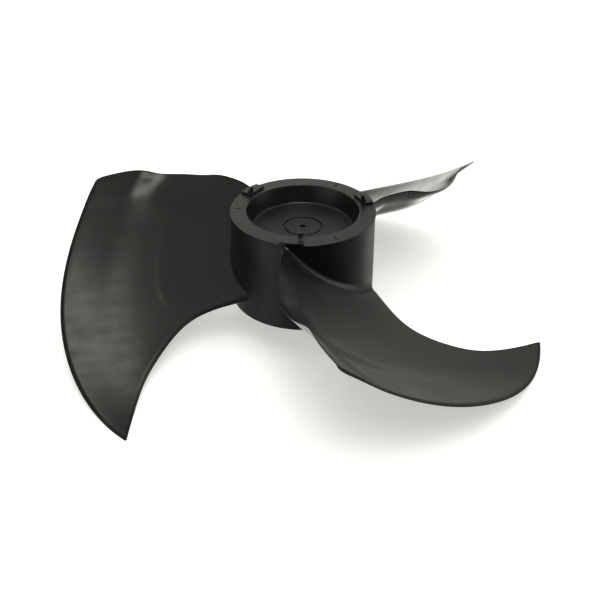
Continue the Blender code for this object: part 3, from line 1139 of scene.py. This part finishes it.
        radius = radius - SINK * fade(from_hub, SINK, 0.0)
        return (radius, chord, to_trailing, to_leading, to_tip, from_hub, flare_up, flare_low)

    def flare(self, from_hub: np.ndarray, size: np.ndarray) -> np.ndarray:
        """Return how far a fillet of a size stands out at a distance from the hub."""
        inside = np.clip(size - from_hub, 0.0, size)
        return size - np.sqrt(np.maximum(0.0, size * size - inside * inside))

    def sheets(self) -> tuple[np.ndarray, np.ndarray, np.ndarray]:
        """Work out the blade's upper and lower side.

        Returns:
            The points of the upper side, those of the lower side, and the UV coordinates that
            they share, all in metres, by row and column.
        """
        radius, chord, to_trail, to_lead, to_tip, from_hub, up, under = self.grid()
        span = np.clip(from_hub / (self.ends[1] - self.wall_foot), 0, 1)
        full = self.root_thickness - self.thickness[0]
        thickness = blend(self.thickness, span) + full * beside(span, self.root_band)
        taper = beside(to_trail, self.edge_taper) ** 2
        thickness = thickness - (thickness - self.edge_thickness[0]) * taper
        toe = fade(chord, *self.tip_share)
        taper = np.maximum(toe * beside(to_tip, self.tip_band),
                           fade(radius, *self.bead_fade) * beside(to_lead, self.tip_taper))
        thickness = thickness - (thickness - self.edge_thickness[1]) * taper
        drop = self.tip_bevel[1] * beside(to_tip, self.tip_bevel[0])
        drop = drop + self.tip_roll[1] * beside(to_tip, self.tip_roll[0])
        drop = drop * (1 - self.toe_relief * toe)
        start, dip, end = self.bead
        ledge = self.bead_ledge + (1 - self.bead_ledge) * fade(to_lead, end, dip)
        bead = fade(to_lead, start, dip) * ledge
        drop = drop + (self.bead_depth * bead * fade(radius, *self.bead_fade[::-1])
                       * fade(radius, *self.bead_start))
        roll = beside(to_lead, self.leading_roll[0]) ** 2
        drop = drop + self.leading_roll[1] * roll * fade(radius, *self.bead_fade[::-1])
        line = np.interp(chord, [p[0] for p in self.step_line], [p[1] for p in self.step_line])
        ramp = np.clip((radius - line) / self.step_width, 0, 1)
        ends = fade(chord, *self.step_ends[0]) * fade(chord, *self.step_ends[1])
        drop = drop + self.step_height * (1 - ramp) * ends
        thickness = np.maximum(thickness - drop, self.least)
        round_off = np.minimum(np.minimum(self.roundness(to_trail, self.nose[0]),
                                          self.roundness(to_lead, self.nose[1])),
                               self.roundness(to_tip, self.nose[2]))
        middle = drop + thickness / 2
        upper = middle - (thickness / 2 + up) * round_off
        lower = middle + (thickness / 2 + under + self.toe_depth * toe) * round_off
        uv = np.stack([to_trail * MM, radius * MM], axis=-1)
        self.dullness = np.maximum.reduce([
            fade(away, width + self.land_softness, width - self.land_softness)
            for away, width in zip((to_trail, to_lead, to_tip), self.land)])
        top = self.lowered(radius, chord, upper)
        bottom = self.lowered(radius, chord, lower)
        bottom[..., 2] = np.maximum(bottom[..., 2], CAD_BOX[0].z)
        return top, bottom, uv

    def lowered(self, radius: np.ndarray, chord: np.ndarray, depth: np.ndarray) -> np.ndarray:
        """Return points at a depth under the plain upper side, square to the section."""
        step = 0.001                      # of the chord, to each side
        before = self.section(radius, chord - step)
        after = self.section(radius, chord + step)
        along = np.radians(after[0] - before[0]) * radius
        rise = after[1] - before[1]
        length = np.hypot(along, rise)
        angle, height = self.section(radius, chord)
        angle = np.radians(angle) + depth * rise / length / radius
        height = height - depth * along / length
        return np.stack([radius * np.cos(angle), radius * np.sin(angle), height], axis=-1) * MM

    def build(self) -> Piece:
        """Model the first blade from a grid that takes the law's shape.

        Returns:
            The blade as one closed mesh, with its UV map.
        """
        upper, lower, uv = self.sheets()
        rows, columns = upper.shape[:2]
        deselect_everything()
        bpy.ops.mesh.primitive_grid_add(x_subdivisions=columns - 1, y_subdivisions=rows - 1,
                                        size=2.0, location=(0, 0, 0))
        blade = started_piece("fan_blade_1")
        flat = np.zeros(len(blade.data.vertices) * 3)
        blade.data.vertices.foreach_get("co", flat)
        flat = flat.reshape(-1, 3)
        column = np.rint((flat[:, 0] + 1) / 2 * (columns - 1)).astype(int)
        row = np.rint((flat[:, 1] + 1) / 2 * (rows - 1)).astype(int)
        with editing(blade):
            bpy.ops.mesh.select_all(action="SELECT")
            bpy.ops.mesh.duplicate()
            bpy.ops.mesh.flip_normals()
        count = len(flat)
        places = np.concatenate([upper[row, column], lower[row, column]])
        blade.data.vertices.foreach_set("co", places.ravel())
        corner = np.zeros(len(blade.data.loops), int)
        blade.data.loops.foreach_get("vertex_index", corner)
        layer = blade.data.uv_layers[0]
        layer.name = self.uv_name
        spot = uv[row, column][corner % count]
        layer.data.foreach_set("uv", spot.ravel())
        dull = blade.data.attributes.new(self.land_name, "FLOAT", "POINT")
        dull.data.foreach_set("value", np.tile(self.dullness[row, column], 2))
        blade.data.update()
        root = {i for i in range(2 * count) if row[i % count] == 0}
        with editing(blade):
            bpy.ops.mesh.select_mode(type="EDGE")
            mesh = bmesh.from_edit_mesh(blade.data)
            for edge in mesh.edges:
                edge.select = all(v.index in root for v in edge.verts)
            bmesh.update_edit_mesh(blade.data)
            bpy.ops.mesh.bridge_edge_loops()
            bpy.ops.mesh.select_all(action="SELECT")
            bpy.ops.mesh.remove_doubles(threshold=WELD * MM)
            bpy.ops.mesh.normals_make_consistent(inside=False)
        settle(blade, sharp=50.0)
        return blade

    def dress(self) -> None:
        """Build the first blade, copy it twice, and put them in the solids' place."""
        material = BLADE_SKIN.material()
        blades = repeat_around(self.build(), "fan_blade", BLADE_COUNT)
        for number, blade in enumerate(blades, 1):
            mount(blade, Slot.BLADE, material, f"blade_{number}")


@dataclass(frozen=True)
class Card:
    """A soft patch of the room around the fan, pale or dark, which its gloss mirrors.

    What surrounds the real fan isn't known, so the patches lie where its gloss asks for them.
    """

    azimuth: float                # degrees, anticlockwise from +X
    elevation: float
    spread: float                 # degrees from its middle to where it ends
    radiance: float               # added to the room's own, or taken off it

    def add(self, tree: Tree, way: Socket, light: Socket) -> Socket:
        """Add the card to the room's light.

        Args:
            tree: The world's node tree.
            way: The direction that is looked in.
            light: The light of the room so far.

        Returns:
            The light with the card's own.
        """
        azimuth, elevation = math.radians(self.azimuth), math.radians(self.elevation)
        middle = (math.cos(azimuth) * math.cos(elevation),
                  math.sin(azimuth) * math.cos(elevation), math.sin(elevation))
        near = add_node(tree, "ShaderNodeVectorMath", {0: way, 1: middle},
                        operation="DOT_PRODUCT")
        glow = map_range(tree, near.outputs["Value"], (math.cos(math.radians(self.spread)), 1.0),
                         (0.0, self.radiance), interpolation_type="SMOOTHSTEP")
        return combined(tree, "ADD", light, glow)


def put_up(name: str, data: bpy.types.ID, place: Triple, turn: Triple) -> Piece:
    """Put a camera or a light into the scene.

    Args:
        name: Its name.
        data: The camera or the light.
        place: Its place, in metres.
        turn: Its turn about the three axes, in degrees.

    Returns:
        The object that holds it.
    """
    holder = bpy.data.objects.new(name, data)
    holder.location = place
    holder.rotation_euler = [math.radians(angle) for angle in turn]
    bpy.context.scene.collection.objects.link(holder)
    return holder


@dataclass(frozen=True)
class Softbox:
    """A rectangular soft light that looks straight down."""

    name: str
    place: Triple                 # of its middle, in metres
    size: Pair                    # width and depth, in metres
    turn: float                   # about the vertical, in degrees
    radiance: float               # of its face, where 1 is white in the picture
    mirrored: bool = True         # whether the plastic's gloss shows it

    def hang(self, warmth: str) -> None:
        """Add the light to the scene, in a colour that is given as sRGB hex."""
        light = bpy.data.lights.new(self.name, "AREA")
        light.shape = "RECTANGLE"
        light.size, light.size_y = self.size
        light.energy = self.radiance * math.pi * self.size[0] * self.size[1]
        light.color = linear(warmth)[:3]
        holder = put_up(self.name, light, self.place, (0, 0, self.turn))
        holder.visible_glossy = self.mirrored


@dataclass
class Studio:
    """A pale floor, soft light from above and behind, and the camera of the photograph."""

    camera_place: Triple = (-0.0021, -0.8925, 0.6108)  # in metres
    camera_turn: Triple = (56.866, -0.284, 0.186)  # in degrees
    lens: float = 54.457          # focal length in millimetres
    shift: float = -0.5 / 600     # half a pixel of the photograph's width
    floor_size: float = 12.0
    floor_colour: str = "ededeb"
    floor_roughness: float = 0.9
    floor_glow: float = 0.55      # what the floor gives off itself
    room: Pair = (0.28, 0.38)     # radiance of the room, low and overhead
    room_rise: Pair = (-0.1, 0.45)  # between the sines of these elevations
    backdrop: float = 0.85        # what the camera sees beyond the floor
    warmth: str = "fffdf6"        # the light's colour
    cards: tuple[Card, ...] = (
        Card(-100, 80, 38, 0.06),       # overhead, beside the softbox
        Card(92, 32, 22, 0.06),         # behind, above the horizon
        Card(94, 2, 20, 2.2),           # behind, at the horizon
        Card(50, 38, 25, 0.2),          # behind on the right, above the horizon
        Card(58, -20, 42, 0.17),        # behind on the right, below the horizon
        Card(-145, -8, 32, 0.75),       # in front on the left, low
        Card(-90, 38, 36, -0.22),       # in front, darker
        Card(-70, 8, 60, -0.26),        # the same, lower and wider
        Card(55, 0, 18, -0.16),         # behind on the right, darker
        Card(115, -50, 22, 1.2),        # below, behind on the left
        Card(80, -42, 11, 3.2),         # below, straight behind
        Card(97, -17, 10, -1.6),        # a darker band above it
        Card(38, -32, 18, 0.3),         # below, behind on the right
        Card(5, 12, 22, 1.1),           # right of the fan, low
        Card(-90, 42, 16, 0.8),         # in front, under the softbox
        Card(-76, 34, 12, 1.3),         # and its brighter right part
        Card(48, 3, 10, -0.16),         # behind on the right, a dark spot
        Card(47, 10, 9, -0.12),         # and above it
        Card(58, 8, 9, 0.2),            # a pale spot to its left
        Card(57, 20, 8, 0.2),           # and above that one
        Card(65, 2, 7, 0.1),            # farther to the left, a little pale
        Card(70, 4, 8, -0.05),          # and a little dark
        Card(108, 46, 11, -0.36),       # behind on the left, high and dark
    )

    softboxes: tuple[Softbox, ...] = (
        Softbox("overhead_softbox", (-0.2, 0.38, 1.8), (1.6, 0.45), -38, 2.4),
        Softbox("rear_softbox", (0.3, 0.8, 1.8), (1.2, 0.35), 0, 2.4),
        Softbox("front_softbox", (0.31, -1.15, 1.8), (0.95, 1.2), 19, 4.6),
        Softbox("fill", (0.0, -0.5, 2.4), (3.0, 2.4), 0, 1.2, mirrored=False),
    )

    def build_camera(self) -> None:
        """Place the camera and make it the scene's."""
        camera = bpy.data.cameras.new("camera")
        camera.lens = self.lens
        camera.shift_x = self.shift
        bpy.context.scene.camera = put_up("camera", camera, self.camera_place, self.camera_turn)

    def build_floor(self) -> None:
        """Lay the floor that the blades' tips stand on."""
        deselect_everything()
        bpy.ops.mesh.primitive_plane_add(size=self.floor_size, location=(0, 0, CAD_BOX[0].z))
        floor = started_piece("studio_floor")
        material, _, shader = blank_material("studio_paper")
        shader.inputs["Base Color"].default_value = linear(self.floor_colour)
        shader.inputs["Roughness"].default_value = self.floor_roughness
        shader.inputs["Emission Color"].default_value = linear(self.floor_colour)
        shader.inputs["Emission Strength"].default_value = self.floor_glow
        floor.data.materials.append(material)
        floor.visible_glossy = False          # the room's cards stand for it in the gloss

    def build_room(self) -> None:
        """Surround the fan with a dim, plain room that its gloss mirrors, pale to the camera."""
        world = bpy.data.worlds.new("studio")
        bpy.context.scene.world = world
        world.use_nodes = True
        tree = world.node_tree
        way = add_node(tree, "ShaderNodeTexCoord").outputs["Generated"]
        rise = add_node(tree, "ShaderNodeSeparateXYZ", {"Vector": way}).outputs["Z"]
        light = map_range(tree, rise, self.room_rise, self.room)
        for card in self.cards:
            light = card.add(tree, way, light)
        light = combined(tree, "MAXIMUM", light, 0.0)
        seen = add_node(tree, "ShaderNodeLightPath").outputs["Is Camera Ray"]
        background = tree.nodes["Background"]
        background.inputs["Color"].default_value = linear(self.warmth)
        tree.links.new(mixed(tree, "FLOAT", seen, light, self.backdrop),
                       background.inputs["Strength"])

    def build_lights(self) -> None:
        """Set the soft light."""
        bpy.context.scene.view_settings.view_transform = "Standard"
        self.build_room()
        for softbox in self.softboxes:
            softbox.hang(self.warmth)

    def build(self) -> None:
        """Build the camera, floor and lights."""
        self.build_camera()
        self.build_floor()
        self.build_lights()


def main() -> None:
    """Build the studio and every piece of the fan, in order."""
    logging.basicConfig(level=logging.INFO, format="%(message)s")
    Studio().build()
    HubShell().dress()
    ShaftSocket().dress()
    StackingLug().dress()
    Blade().dress()


if __name__ == "__main__":
    main()
